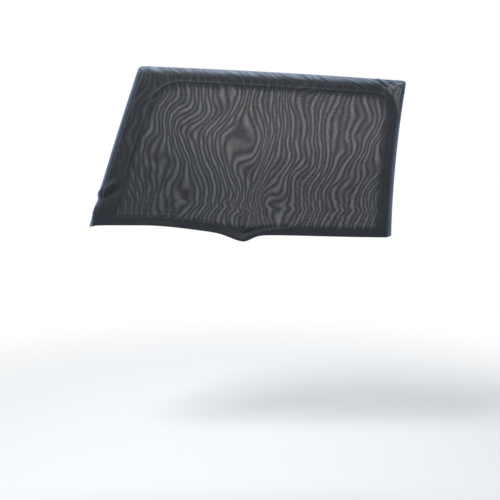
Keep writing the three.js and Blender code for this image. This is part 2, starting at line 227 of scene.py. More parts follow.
class PanelOutline:
    """The four borders of one panel in the XZ plane. The top corners are rounded as quadratic curves."""

    hem_left, hem_middle, hem_right = 25 * MM, -4 * MM, -11 * MM
    slope_start, slope_end = -290 * MM, 40 * MM
    corner_droop, corner_length = 11 * MM, 11 * MM
    sag_at, sag_left, sag_right = 8 * MM, 50 * MM, 32 * MM
    top_bow, left_bow, right_sweep = 3.5 * MM, 2.5 * MM, 1.9
    notch, notch_at, notch_reach = 2.5 * MM, 97 * MM, 10 * MM
    round_left, round_right = 15 * MM, 13 * MM

    def __init__(self, sizes, sag):
        self.sag = sag
        self.lift = HEM_FOLD + sizes.hem_height
        self.half = sizes.hem_width * HALF
        self.top_left = np.array((sizes.left_inset - self.half, sizes.left_height))
        self.top_right = np.array((self.half + sizes.right_overhang, sizes.right_height))
        self.foot_left = float(self.hem_z(-self.half))
        self.foot_right = float(self.hem_z(self.half))
        left_z = self.top_left[1] - self.round_left
        right_z = self.top_right[1] - self.round_right
        start_x = self.top_left[0] + self.round_left
        end_x = self.top_right[0] - self.round_right
        self.arc_left = [
            np.array((self.left_x(left_z), left_z)), self.top_left, np.array((start_x, self.top_z(start_x)))
        ]
        self.arc_right = [
            np.array((end_x, self.top_z(end_x))), self.top_right, np.array((self.right_x(right_z), right_z))
        ]

    def hem_z(self, x):
        middle = mix(self.hem_left, self.hem_middle, smooth(x, self.slope_start, self.slope_end))
        fall = (self.hem_right - self.hem_middle) * smooth(x, self.slope_end, self.half)
        reach = np.where(x < self.sag_at, self.sag_left, self.sag_right)
        corner = self.corner_droop * np.exp(-(x + self.half) / self.corner_length)
        return middle + fall - self.sag * bump(x, self.sag_at, reach) - corner + self.lift

    def left_x(self, z):
        rise = (z - self.foot_left) / (self.top_left[1] - self.foot_left)
        line = mix(-self.half, self.top_left[0], rise) - self.left_bow * np.sin(np.pi * rise)
        return line + self.notch * bump(z, self.notch_at, self.notch_reach)

    def right_x(self, z):
        rise = np.clip((z - self.foot_right) / (self.top_right[1] - self.foot_right), 0, None)
        return mix(self.half, self.top_right[0], rise**self.right_sweep)

    def top_z(self, x):
        along = (x - self.top_left[0]) / (self.top_right[0] - self.top_left[0])
        return mix(self.top_left[1], self.top_right[1], along) + self.top_bow * np.sin(np.pi * along)

    @staticmethod
    def arc_point(arc, t):
        t = np.asarray(t)[..., None]
        return arc[0] * (1 - t) ** 2 + arc[1] * 2 * t * (1 - t) + arc[2] * t**2

    def bottom(self, u):
        x = mix(-self.half, self.half, u)
        return np.stack((x, self.hem_z(x)), -1)

    def left(self, v):
        split = 1 - self.round_left * HALF / (self.top_left[1] - self.foot_left)
        z = mix(self.foot_left, self.arc_left[0][1], v / split)
        arc = self.arc_point(self.arc_left, HALF * (v - split) / (1 - split))
        return np.where((v > split)[..., None], arc, np.stack((self.left_x(z), z), -1))

    def right(self, v):
        split = 1 - self.round_right * HALF / (self.top_right[1] - self.foot_right)
        z = mix(self.foot_right, self.arc_right[2][1], v / split)
        arc = self.arc_point(self.arc_right, 1 - HALF * (v - split) / (1 - split))
        return np.where((v > split)[..., None], arc, np.stack((self.right_x(z), z), -1))

    def top(self, u):
        width = self.top_right[0] - self.top_left[0]
        start = self.round_left * HALF / width
        end = 1 - self.round_right * HALF / width
        x = mix(self.arc_left[2][0], self.arc_right[0][0], (u - start) / (end - start))
        line = np.stack((x, self.top_z(x)), -1)
        arc_left = self.arc_point(self.arc_left, HALF + HALF * u / start)
        arc_right = self.arc_point(self.arc_right, HALF * (u - end) / (1 - end))
        line = np.where((u < start)[..., None], arc_left, line)
        return np.where((u > end)[..., None], arc_right, line)

    def blend(self, u, v):
        """Points of a grid, rows along v, that meet the four borders exactly"""
        uu, vv = u[None, :, None], v[:, None, None]
        low, high = self.bottom(u)[None], self.top(u)[None]
        left, right = self.left(v)[:, None], self.right(v)[:, None]
        corners = (1 - uu) * (1 - vv) * low[:, :1] + uu * (1 - vv) * low[:, -1:]
        corners = corners + (1 - uu) * vv * high[:, :1] + uu * vv * high[:, -1:]
        return (1 - vv) * low + vv * high + (1 - uu) * left + uu * right - corners


class PanelPlaces:
    """Front-view places of a panel's grid and their distances to its borders"""

    pane_left, pane_top, pane_right = 72 * MM, 44 * MM, 42 * MM
    pane_round_left, pane_round_right = 90 * MM, 60 * MM
    corner_blend = 5 * MM

    def __init__(self, outline, u, v):
        self.outline, self.u, self.v = outline, u, v
        place = outline.blend(u, v)
        self.x, self.z = place[..., 0], place[..., 1]
        self.from_left = np.linalg.norm(place - outline.left(v)[:, None], axis=-1)
        self.from_right = np.linalg.norm(place - outline.right(v)[:, None], axis=-1)
        self.from_top = np.linalg.norm(place - outline.top(u)[None], axis=-1)
        self.above = self.z - outline.bottom(u)[None, :, 1]
        self.from_seam = np.minimum(np.minimum(self.from_left, self.from_right), self.from_top)

    def inside_line(self, left, top, right, round_left, round_right):
        """Distance inside a rounded line that stands in from the left, top and right borders"""
        left, top, right = self.from_left - left, self.from_top - top, self.from_right - right
        left_corner = smooth_least(left, top, round_left)
        right_corner = smooth_least(right, top, round_right)
        return smooth_least(left_corner, right_corner, self.corner_blend)

    def inside_pane(self):
        """Distance inside the rounded line round the taut pane"""
        rounds = self.pane_round_left, self.pane_round_right
        return self.inside_line(self.pane_left, self.pane_top, self.pane_right, *rounds)


def steps(count, dense_low, dense_high):
    """Places from 0 to 1, closer together near the ends that are named dense"""
    t = np.linspace(0, 1, count + 1)
    weight = 1 / (1 + dense_low * np.exp(-t / DENSE_REACH) + dense_high * np.exp((t - 1) / DENSE_REACH))
    places = np.concatenate(([0], np.cumsum((weight[1:] + weight[:-1]) * HALF)))
    return places / places[-1]


def grid_normals(points):
    """Unit normals of a grid of points"""
    across = np.gradient(points, axis=1)
    up = np.gradient(points, axis=0)
    normal = np.cross(across, up)
    return normal / np.linalg.norm(normal, axis=-1, keepdims=True)


def soft_noise(x, z, scale_x, scale_z, seed):
    """Smooth noise on a grid, from about -1 to 1"""
    flat = [
        noise.noise(Vector((a, b, seed)), noise_basis="PERLIN_NEW")
        for a, b in zip((x / scale_x).ravel().tolist(), (z / scale_z).ravel().tolist())
    ]
    return np.array(flat).reshape(x.shape)


def crests(wave, thinness, sharpness):
    """Thin crests from 0 to 1 where a noise passes through zero"""
    return (1 - np.minimum(1, np.abs(wave) * thinness)) ** sharpness


def drag_lines(x, z, slope, spacing, length, seed):
    """Sharp-crested small folds that run down to the right at an angle, from 0 to 1"""
    across = x * math.sin(slope) + z * math.cos(slope)
    along = x * math.cos(slope) - z * math.sin(slope)
    return crests(soft_noise(along, across, length, spacing, seed), 2.6, 1.6)


# Folds that stand out of the cabin panel, positive towards the cabin


def crease_fold(x, z):
    """The sharp crease across the lower left edge, with a hollow beside it"""
    start, run = np.array((-434, 108)) * MM, np.array((72, 45)) * MM
    height, width, hollow_at = 8 * MM, 10 * MM, 1.8
    fade_in, fade_out = (-0.35, 0.15), (0.7, 1.25)
    length = np.hypot(*run)
    along = ((x - start[0]) * run[0] + (z - start[1]) * run[1]) / length**2
    off = ((x - start[0]) * run[1] - (z - start[1]) * run[0]) / length
    fade = smooth(along, *fade_in) * (1 - smooth(along, *fade_out))
    return height * fade * (bump(off, 0, width) - HALF * bump(off, hollow_at * width, width))


def slack_fold(x, z):
    """The slack bulge in the lower left corner"""
    height, at_x, at_z, reach_x, reach_z = 6 * MM, -422 * MM, 62 * MM, 26 * MM, 24 * MM
    return height * bump(x, at_x, reach_x) * bump(z, at_z, reach_z)


def loop_fold(x, z, outline):
    """The fold that rises to the right from the slack loop, with a groove above it"""
    height, groove, width = 8 * MM, 4 * MM, 5 * MM
    start, rise, rise_run, length = -12 * MM, 30 * MM, 60 * MM, 190 * MM
    run = x - outline.sag_at
    ridge = start + rise * (1 - np.exp(-np.clip(run, 0, None) / rise_run))
    fade = smooth(run, -outline.sag_left * HALF, outline.sag_right * HALF) * (1 - smooth(run, 0, length))
    return fade * (height * bump(z, ridge, width) - groove * bump(z, ridge + 2 * width, width))


def hem_fold(x, above, outline):
    """The hem is drawn in, and the slack loop stands forward"""
    forward, pull, reach = 6 * MM, 3 * MM, 16 * MM
    return np.exp(-above / reach) * (forward * bump(x, outline.sag_at, outline.sag_left) - pull)


def top_drag(x, z, from_top):
    """Broad slanted waves below the top edge, in groups"""
    height, pitch, slant, group, reach = 3.2 * MM, 64 * MM, 0.45, 5.3, 30 * MM
    wave = np.sin(2 * np.pi * (x + slant * z) / pitch)
    spread = HALF + HALF * np.sin(2 * np.pi * x / (group * pitch))
    return height * wave * spread * np.exp(-from_top / reach)


def ear_fold(x, z, outline):
    """Folds that spread from the top right corner, where the cloth is pulled to an ear"""
    height, rays, rise_over, reach_over = 8.5 * MM, 7, 23 * MM, 46 * MM
    dx, dz = x - outline.top_right[0], z - outline.top_right[1]
    reach, angle = np.hypot(dx, dz), np.arctan2(dz, dx)
    return height * smooth(reach, 0, rise_over) * np.exp(-reach / reach_over) * np.sin(rays * angle)


def ear_lines(places):
    """Sharp little folds that fan out from the pulled top right corner, one of them a long crease"""
    fan_height, fan_angle, fan_length, fan_reach = 2.4 * MM, 0.16, 60 * MM, 52 * MM
    crease_height, crease_width, slope = 3.4 * MM, 2.6 * MM, math.radians(33)
    crease_left, crease_up = 92 * MM, 4 * MM
    crease_start, crease_end = (-8 * MM, 14 * MM), (52 * MM, 92 * MM)
    corner = places.outline.top_right
    dx, dz = places.x - corner[0], places.z - corner[1]
    reach, angle = np.hypot(dx, dz), np.arctan2(dz, dx)
    fan = crests(soft_noise(angle, reach, fan_angle, fan_length, 4.1), 3, 1.5)
    lines = fan_height * fan * smooth(reach, 6 * MM, 20 * MM) * np.exp(-reach / fan_reach)
    right, up = dx + crease_left, dz - crease_up
    across = right * math.sin(slope) + up * math.cos(slope)
    along = right * math.cos(slope) - up * math.sin(slope)
    crease = bump(across, 0, crease_width) * smooth(along, *crease_start) * (1 - smooth(along, *crease_end))
    return lines + crease_height * crease


def top_band_lines(places):
    """Slanted drag lines over the top edge, closer together towards the right end"""
    x, z, slope = places.x, places.z, math.radians(34)
    left_height, close_height, right_height = 3.2 * MM, 2.2 * MM, 2.0 * MM
    left_reach, right_reach = 22 * MM, 30 * MM
    wide = drag_lines(x, z, slope, 13 * MM, 70 * MM, 3.1)
    close = drag_lines(x, z, slope, 7 * MM, 46 * MM, 8.6)
    right = smooth(x, -40 * MM, 420 * MM)
    height = mix(left_height * wide, close_height * close + right_height * wide, right)
    return height * np.exp(-places.from_top / mix(left_reach, right_reach, right))


def left_edge_lines(places):
    """The long ridge beside the left edge, steep on its outer side, and the fine lines that run with it"""
    ridge_height, ridge_from, ridge_to, ridge_reach = 13 * MM, 23 * MM, 27 * MM, 34 * MM
    fine_height, fine_reach, slack = 0.8 * MM, 30 * MM, 1.6
    ridge = smooth(places.from_left, ridge_from, ridge_to) * np.exp(-places.from_left / ridge_reach)
    ridge *= smooth(places.from_top, 10 * MM, 50 * MM) * smooth(places.above, 10 * MM, 60 * MM)
    fine = soft_noise(places.from_left, places.z, 5 * MM, 120 * MM, 5.2)
    fine *= 1 + slack * (1 - smooth(places.above, 20 * MM, 110 * MM))
    return ridge_height * ridge + fine_height * fine * np.exp(-places.from_left / fine_reach)


def hem_lines(places):
    """Tension lines along the hem and the small puckers that its elastic draws up"""
    height, left_extra, reach = 1.3 * MM, 1.2 * MM, 38 * MM
    pucker_height, pucker_reach = 0.5 * MM, 12 * MM
    left = 1 - smooth(places.x, -330 * MM, 60 * MM)
    lines = soft_noise(places.x, places.above, 150 * MM, 8 * MM, 9.4) * np.exp(-places.above / reach)
    pucker = soft_noise(places.x, places.above, 7 * MM, 40 * MM, 2.2) * np.exp(-places.above / pucker_reach)
    return (height + left_extra * left) * lines + pucker_height * pucker


def right_edge_lines(places):
    """Short level ripples beside the right edge"""
    height, reach = 1.4 * MM, 26 * MM
    lines = soft_noise(places.from_right, places.z, 50 * MM, 10 * MM, 7.7)
    return height * lines * np.exp(-places.from_right / reach)


def pane_line(places):
    """The faint rounded line round the taut pane, and the slightly sunken pane inside it"""
    height, width, sunk = 2.6 * MM, 2.6 * MM, 2.0 * MM
    inside = places.inside_pane()
    line = height * bump(inside, 0, width)
    return (line - sunk * smooth(inside, 0, 16 * MM)) * smooth(places.above, 0, 60 * MM)


def seam_pucker(places):
    """The small gathers along the seam"""
    height, pitch, reach = 0.35 * MM, 6 * MM, 7 * MM
    along = places.x + places.z
    return height * soft_noise(along, along, pitch, pitch, 6.6) * np.exp(-places.from_seam / reach)


def smooth_object(name, mesh):
    """Puts a smooth-shaded mesh into the scene"""
    mesh.shade_smooth()
    mesh.validate()
    piece = bpy.data.objects.new(name, mesh)
    bpy.context.collection.objects.link(piece)
    return piece


class ClothSheet:
    """Points, faces, cloth coordinates and stretch of one open sheet"""

    def __init__(self):
        self.points, self.faces, self.cloth, self.stretch = [], [], [], []

    def add(self, points, cloth, stretch):
        start = len(self.points)
        self.points.extend(points.reshape(-1, 3).tolist())
        self.cloth.extend(cloth.reshape(-1, 2).tolist())
        self.stretch.extend(np.ravel(stretch).tolist())
        return start + np.arange(points.reshape(-1, 3).shape[0])

    def strip(self, low, high):
        self.faces.extend(np.stack((low[:-1], low[1:], high[1:], high[:-1]), -1).tolist())

    def place(self, index):
        return np.array(self.points)[index]

    def mesh_object(self, name):
        mesh = bpy.data.meshes.new(name)
        mesh.from_pydata(self.points, [], self.faces)
        cloth = mesh.uv_layers.new(name=CLOTH_MAP)
        corner = np.zeros(len(mesh.loops), dtype=np.int64)
        mesh.loops.foreach_get("vertex_index", corner)
        cloth.uv.foreach_set("vector", np.array(self.cloth)[corner].ravel())
        stretch = mesh.attributes.new(STRETCH, "FLOAT", "POINT")
        stretch.data.foreach_set("value", np.array(self.stretch))
        return smooth_object(name, mesh)


def cloth_lengths(points):
    """Distance over the smooth cloth from the middle column and down from the top row"""
    across = np.linalg.norm(np.diff(points, axis=1), axis=-1)
    across = np.concatenate((np.zeros((points.shape[0], 1)), np.cumsum(across, axis=1)), axis=1)
    up = np.linalg.norm(np.diff(points, axis=0), axis=-1)
    up = np.concatenate((np.zeros((1, points.shape[1])), np.cumsum(up, axis=0)), axis=0)
    middle = across[:, points.shape[1] // 2][:, None]
    return np.stack((across - middle, up - up[-1:]), -1)


def seam_loop(grid):
    """Indices up the left edge, along the top and down the right edge"""
    return np.concatenate((grid[:, 0], grid[-1, 1:-1], grid[::-1, -1]))


def seam_inward(points):
    """Unit directions in the panel's plane, from the seam towards the middle"""
    along = np.gradient(points, axis=0)
    inward = np.stack((along[:, 2], np.zeros(len(points)), -along[:, 0]), -1)
    return inward / np.linalg.norm(inward, axis=1, keepdims=True)


def add_allowance(sheet, edge, inward, outline, profile):
    """Rings of the turned-in seam allowance, each a distance in from the outline and a depth"""
    cloth = np.array(sheet.cloth)[edge]
    last = edge
    for inset, depth in profile:
        ring = outline + inward * inset
        ring[:, 1] = depth
        made = sheet.add(ring, cloth + (0, inset), np.zeros(len(edge)))
        sheet.strip(last, made)
        last = made


def add_hem(sheet, row, facing, hem_height, skip):
    """The hem: down, round the elastic and up again inside, where the stitch line draws it together"""
    base = sheet.place(row)
    along = np.gradient(base, axis=0)
    inward = np.stack((-along[:, 1], along[:, 0], np.zeros(len(row))), -1)
    inward *= (np.sign(inward[:, 1]) * facing)[:, None] / np.linalg.norm(inward, axis=1, keepdims=True)
    cloth = np.array(sheet.cloth)[row]

    def copy_row(pick, offset, drop, run):
        points = base[pick] + inward[pick] * offset
        points[:, 2] -= drop
        return sheet.add(points, cloth[pick] - np.array((0, run)), np.zeros(len(points)))

    # The turned-up edge's rows: share of the hem's thickness, and drop as a share of its height
    down = (0.08, 0.25, 0.5, 0.75, 1)
    inside = ((1, 0.55), (1, 0.26), (0.72, 0.17), (0.36, 0.09), (STITCHED_GAP, 0.04), (0.3, -0.06))
    everything = np.arange(len(row))
    turned = everything[skip : len(row) - skip]
    last = row
    for part in down:
        made = copy_row(everything, 0, hem_height * part, hem_height * part)
        sheet.strip(made, last)
        last = made
    lower, last = made, made[turned]
    for angle in np.linspace(0, np.pi, 7)[1:]:
        offset, drop = HEM_FOLD * (1 - np.cos(angle)), hem_height + HEM_FOLD * np.sin(angle)
        made = copy_row(turned, offset, drop, hem_height + HEM_FOLD * angle)
        sheet.strip(made, last)
        last = made
    for offset, drop in inside:
        run = (2 - drop) * hem_height + HEM_FOLD * np.pi
        made = copy_row(turned, 2 * HEM_FOLD * offset, hem_height * drop, run)
        sheet.strip(made, last)
        last = made
    return {"base": base, "lower": sheet.place(lower), "inward": inward, "skip": skip}


def panel_depths(sizes):
    """Depths of the outer panel, of both turned-in seam allowances and of the cabin panel's seam"""
    outer = sizes.pouch_depth * HALF
    outer_allowance = outer - 2 * OUTER_FOLD
    cabin_allowance = outer_allowance - CLOTH - CLEARANCE
    return outer, outer_allowance, cabin_allowance, cabin_allowance - SEAM_TURN


def rolled(distance, width):
    """How far the panel has turned to the front, from 0 at the seam to 1 where the roll ends"""
    return 1 - np.clip(1 - distance / width, 0, None) ** ROLL_FULLNESS


def pane_stretch(places):
    """The pane is drawn tight, most of all towards its upper right, and the borders above the hem a little"""
    least, more_right, more_up = 0.54, 0.25, 0.25
    border_stretch, border_right = 0.42, HALF
    taut = smooth(places.inside_pane(), -8 * MM, 26 * MM) * smooth(places.above, 0, 30 * MM)
    right = smooth(places.x, -300 * MM, 0)
    up = smooth(places.z, 110 * MM, 330 * MM)
    border = smooth(places.from_seam, 10 * MM, 34 * MM) * smooth(places.z, 40 * MM, 330 * MM)
    border *= 1 - smooth(places.x, 150 * MM, 420 * MM) * border_right
    return np.maximum(taut * (least + more_right * right + more_up * up), border_stretch * border)


def ear_stretch(places):
    """The thin three-cornered patch under the pulled ear, which dies out down the right edge"""
    most = 1.4
    outside = 1 - smooth(places.inside_line(0, 20 * MM, 15 * MM, 90 * MM, 120 * MM), -5 * MM, 1 * MM)
    right = smooth(places.x, 300 * MM, 330 * MM) * smooth(places.from_right, 5 * MM, 10 * MM)
    height = smooth(places.from_top, 22 * MM, 27 * MM) * smooth(places.z, 270 * MM, 340 * MM)
    return most * outside * right * height


def cabin_surface(sizes):
    """Points, cloth coordinates and stretch of the cabin panel, rolled over at three edges and folded"""
    dense_side, dense_hem, dense_top = 2.5, 1.5, 3
    uneven, uneven_x, uneven_z, seam_reach = 0.5 * MM, 120 * MM, 90 * MM, 5 * MM
    outline = PanelOutline(sizes, SAG_DEPTH)
    places = PanelPlaces(
        outline, steps(sizes.columns, dense_side, dense_side), steps(sizes.rows, dense_hem, dense_top)
    )
    x, z = places.x, places.z
    roll = rolled(places.from_left, sizes.left_roll)
    roll = roll * rolled(places.from_top, sizes.top_roll) * rolled(places.from_right, sizes.right_roll)
    dish = FACE_DISH * np.sin(np.pi * places.u)[None] * np.sin(np.pi * places.v)[:, None]
    seam = panel_depths(sizes)[3]
    depth = mix(seam, dish - sizes.pouch_depth * HALF, roll)
    points = np.stack((x, depth, z), -1)
    cloth = cloth_lengths(points)
    height = crease_fold(x, z) + slack_fold(x, z) + loop_fold(x, z, outline)
    height += hem_fold(x, places.above, outline) + top_drag(x, z, places.from_top) + ear_fold(x, z, outline)
    small = top_band_lines(places) + left_edge_lines(places) + hem_lines(places) + right_edge_lines(places)
    small += pane_line(places) + seam_pucker(places) + ear_lines(places)
    small += uneven * soft_noise(x, z, uneven_x, uneven_z, 1.3)
    edge = smooth(places.from_seam, 0, seam_reach)
    points += grid_normals(points) * (height * roll + small * edge)[..., None]
    return points, cloth, np.maximum(pane_stretch(places), ear_stretch(places))


def outer_surface(sizes):
    """Points, cloth coordinates and stretch of the outer panel, almost flat with soft ripples"""
    dense_side, dense_hem, dense_top = 3, 2, 3
    wave_height, wave_pitch, hold_rise = 1.6 * MM, 210 * MM, 6
    soft_height, lean_height, lean_reach = 0.9 * MM, 0.8 * MM, 60 * MM
    pucker_height, pucker_reach = 0.5 * MM, 16 * MM
    outline = PanelOutline(sizes, 0)
    columns, rows = sizes.columns * 3 // 4, sizes.rows * 3 // 4
    places = PanelPlaces(outline, steps(columns, dense_side, dense_side), steps(rows, dense_hem, dense_top))
    x, z, above = places.x, places.z, places.above
    inside = np.sin(np.pi * places.u)[None] * np.sin(np.pi * places.v)[:, None]
    hold = np.minimum(1, hold_rise * inside)
    lean = drag_lines(x, z, math.radians(-52), 16 * MM, 120 * MM, 2.9) * np.exp(-places.from_top / lean_reach)
    pucker = soft_noise(x, above, 8 * MM, 60 * MM, 5.9) * np.exp(-above / pucker_reach)
    ripple = wave_height * inside * np.sin(2 * np.pi * (x + z) / wave_pitch)
    ripple += hold * soft_height * soft_noise(x, z, 60 * MM, 120 * MM, 4.4)
    ripple += hold * (lean_height * lean + pucker_height * pucker)
    points = np.stack((x, sizes.pouch_depth * HALF + ripple, z), -1)
    flat = np.stack((x, np.zeros_like(x), z), -1)
    stretch = smooth(places.from_seam, 4 * MM, 12 * MM) * smooth(above, 0, 20 * MM)
    return points, cloth_lengths(flat), stretch


def panel_sheet(points, cloth, stretch, facing):
    """A sheet of one panel's grid, the grid's indices, its seam edge and the way in from it"""
    sheet = ClothSheet()
    grid = sheet.add(points, cloth, stretch).reshape(stretch.shape)
    for low, high in zip(grid[:-1], grid[1:]):
        sheet.strip(*((low, high) if facing > 0 else (high, low)))
    edge = seam_loop(grid)
    border = sheet.place(edge)
    return sheet, grid, edge, border, seam_inward(border)


def cabin_sheet(sizes):
    """The cabin panel with its seam allowance turned in, its hem, and the seam's border and way in"""
    sheet, grid, edge, border, inward = panel_sheet(*cabin_surface(sizes), 1)
    _, _, allowance, seam = panel_depths(sizes)
    turn = [
        (SEAM_TURN * (1 - math.cos(a)), seam + SEAM_TURN * math.sin(a))
        for a in (math.pi / 6, math.pi / 3, math.pi / 2)
    ]
    profile = [*turn, (ALLOWANCE_STEP, allowance), (ALLOWANCE, allowance)]
    add_allowance(sheet, edge, inward, border, profile)
    return sheet, add_hem(sheet, grid[0], 1, sizes.hem_height, CABIN_SKIP), border, inward


def outer_sheet(sizes):
    """The outer panel with its edge folded over into the seam allowance, and its hem"""
    sheet, grid, edge, border, inward = panel_sheet(*outer_surface(sizes), -1)
    outer, allowance, _, _ = panel_depths(sizes)
    for index, point in zip(edge.tolist(), (border + inward * OUTER_FOLD).tolist()):
        sheet.points[index] = point
    turn = [
        (OUTER_FOLD * (1 - math.sin(a)), outer - OUTER_FOLD * (1 - math.cos(a)))
        for a in np.linspace(0, math.pi, 6)[1:].tolist()
    ]
    profile = [*turn, (ALLOWANCE_STEP, allowance), (ALLOWANCE, allowance)]
    add_allowance(sheet, edge[::-1], inward[::-1], border[::-1], profile)
    return sheet, add_hem(sheet, grid[0], -1, sizes.hem_height, OUTER_SKIP)


# Threads and elastic as tubes along a path


class TubeMesh:
    """Quads of tubes and bands, gathered into one mesh"""

    def __init__(self):
        self.points, self.faces = [], []

    def sweep(self, path, section, up, closed=False):
        """Carries a flat section along a path, its second axis held near the given direction"""
        path, up = np.asarray(path), np.asarray(up, dtype=float)
        if closed:
            along = np.roll(path, -1, axis=0) - np.roll(path, 1, axis=0)
        else:
            along = np.gradient(path, axis=0)
        along /= np.linalg.norm(along, axis=1, keepdims=True)
        side = np.cross(along, up)
        side /= np.maximum(np.linalg.norm(side, axis=1, keepdims=True), 1e-9)
        raised = np.cross(side, along)
        ring = section[None, :, :1] * side[:, None] + section[None, :, 1:] * raised[:, None] + path[:, None]
        start, count = len(self.points), len(section)
        self.points.extend(ring.reshape(-1, 3).tolist())
        rows = start + np.arange(ring.shape[0] * count).reshape(-1, count)
        rows = np.vstack((rows, rows[:1])) if closed else rows
        low, high = rows[:-1], rows[1:]
        quads = np.stack((low, np.roll(low, -1, axis=1), np.roll(high, -1, axis=1), high), -1)
        self.faces.extend(quads.reshape(-1, 4).tolist())
        if not closed:
            self.faces.extend([rows[0][::-1].tolist(), rows[-1].tolist()])

    def mesh_object(self, name):
        mesh = bpy.data.meshes.new(name)
        mesh.from_pydata(self.points, [], self.faces)
        return smooth_object(name, mesh)


def round_section(radius, sides=5):
    """The section of a thread"""
    angle = np.arange(sides) * (2 * np.pi / sides)
    return np.stack((np.cos(angle), np.sin(angle)), -1) * radius


class SeamLine:
    """Places along the seam by distance"""

    def __init__(self, border, inward):
        self.border, self.inward = border, inward
        run = np.linalg.norm(np.diff(border, axis=0), axis=1)
        self.distance = np.concatenate(([0], np.cumsum(run)))
        self.length = self.distance[-1]

    def points(self, distance, inset, depth):
        place = [np.interp(distance, self.distance, self.border[:, axis]) for axis in (0, 2)]
        lean = [np.interp(distance, self.distance, self.inward[:, axis]) for axis in (0, 2)]
        return np.stack((place[0] + lean[0] * inset, depth, place[1] + lean[1] * inset), -1)


def overlock_mesh(sizes, stitches, seam):
    """Looper thread zigzags over both faces and round the raw edge, needle thread runs along each face"""
    _, outer_allowance, cabin_allowance, _ = panel_depths(sizes)
    thick = stitches.thread
    front = cabin_allowance - CLOTH * HALF - thick
    back = outer_allowance + CLOTH * HALF + thick
    middle = (front + back) * HALF
    near, edge = ALLOWANCE - OVERLOCK_BITE, ALLOWANCE + thick
    turn = edge + 1.2 * thick
    count = int(seam.length / stitches.overlock_pitch)
    half_way = mix(near, edge, HALF)
    # One stitch: share of the pitch, distance in from the seam, depth
    profile = [
        (0.00, near, front),
        (0.12, half_way, front - 0.3 * thick),
        (0.25, edge, front),
        (0.30, turn, middle),
        (0.35, edge, back),
        (0.45, half_way, back + 0.3 * thick),
        (0.55, near, back),
        (0.67, half_way, back + 0.9 * thick),
        (0.78, edge, back + 0.4 * thick),
        (0.83, turn, middle),
        (0.88, edge, front - 0.4 * thick),
        (0.94, half_way, front - 0.9 * thick),
    ]
    step, inset, depth = np.array(profile).T
    distance = ((np.arange(count)[:, None] + step[None]) * (seam.length / count)).ravel()
    tube = TubeMesh()
    zigzag = seam.points(distance, np.tile(inset, count), np.tile(depth, count))
    off_every_path = (0.31, 0.88, 0.35)
    tube.sweep(zigzag, round_section(thick), off_every_path)
    run = np.linspace(0, seam.length, count * 4 + 1)
    lift = np.abs(np.sin(run * (np.pi * count / seam.length))) * HALF * thick
    for side, level in ((-1, front), (1, back)):
        line = seam.points(run, np.full(len(run), near), level + side * lift)
        tube.sweep(line, round_section(thick), (0, 1, 0))
    return tube


def elastic_path(hem, leave):
    """The elastic's lower edge through one hem. Past the ends of the turn-up it leaves the cloth."""
    lower, inward, skip = hem["lower"], hem["inward"], hem["skip"]
    index = np.arange(leave, len(lower) - leave)
    from_end = np.minimum(index, len(lower) - 1 - index)
    ease_from, ease_to = skip - 4, skip + 2
    offset = HEM_FOLD + ELASTIC_THICKNESS * (1 - smooth(from_end, ease_from, ease_to))
    return lower[index] + inward[index] * offset[:, None]


def elastic_mesh(cabin_hem, outer_hem):
    """A flat ribbed ring through both hems, which crosses from panel to panel at the side seams"""
    ribs, rib_height = 6, 0.08 * MM
    edge_wall, edge_slope = 0.45, 5
    front = elastic_path(cabin_hem, CABIN_LEAVE)
    back = elastic_path(outer_hem, OUTER_LEAVE)[::-1]
    ring = np.concatenate((front, back))
    ring[:, 2] += ELASTIC_WIDTH * HALF
    up = np.linspace(-HALF, HALF, 4 * ribs + 1)
    wall = ELASTIC_THICKNESS * HALF - rib_height + rib_height * np.cos(2 * np.pi * ribs * (up + HALF))
    wall = wall * np.minimum(1, edge_wall + edge_slope * (HALF - np.abs(up)))
    section = np.concatenate(
        (np.stack((wall, up * ELASTIC_WIDTH), -1), np.stack((-wall[::-1], up[::-1] * ELASTIC_WIDTH), -1))
    )
    tube = TubeMesh()
    tube.sweep(ring, section, (0, 0, 1), closed=True)
    return tube


def hem_stitch_mesh(hems, stitches):
    """Dashes of lockstitch that close each hem, on its outside and on its inside"""
    tube = TubeMesh()
    thick = stitches.thread
    below, gap, off_every_path = 0.35 * MM, 0.07, (0.2, 0.1, 1)
    # One dash: how far it stands off the cloth, in thread radii, at each share of its length
    rise = np.array((-1, -0.2, 0.55, 0.8, 0.8, 0.55, -0.2, -1))
    share = gap + (1 - 2 * gap) * np.array((0, 0.06, 0.2, 0.4, 0.6, 0.8, 0.94, 1))
    for hem in hems:
        base, inward, skip = hem["base"], hem["inward"], hem["skip"]
        pick = slice(skip + 1, len(base) - skip - 1)
        base, inward = base[pick], inward[pick]
        run = np.concatenate(([0], np.cumsum(np.linalg.norm(np.diff(base, axis=0), axis=1))))
        count = int(run[-1] / stitches.hem_pitch)
        for side, level in ((-1, 0.0), (1, 2 * HEM_FOLD * STITCHED_GAP)):
            for k in range(count):
                at = (k + HALF * (side > 0) + share) * (run[-1] / (count + 1))
                place = np.stack([np.interp(at, run, base[:, axis]) for axis in range(3)], -1)
                lean = np.stack([np.interp(at, run, inward[:, axis]) for axis in range(3)], -1)
                path = place + lean * (level + side * thick * rise)[:, None]
                path[:, 2] -= below
                tube.sweep(path, round_section(thick), off_every_path)
    return tube


# Finishes

THREAD_BLACK, ELASTIC_BLACK = (0.014, 0.014, 0.016), (0.01, 0.01, 0.011)
# Uneven stretch of the knit: scale of the noise and share of the whole drift
DRIFTS = ((6.0, 1.0), (40.0, 0.045), (260.0, 0.02))
# How much of the drift runs along the hole columns
DRIFT_ALONG = 0.4
# Share of the knit's relief that runs in columns, the rest being staggered holes
COLUMN_SHARE = 0.45
# Level of the relief at which a hole starts, in slack and in fully stretched cloth, and how soft its edge is
SLACK_LEVEL, TAUT_LEVEL, HOLE_SOFTNESS = 0.72, -0.55, 1.45


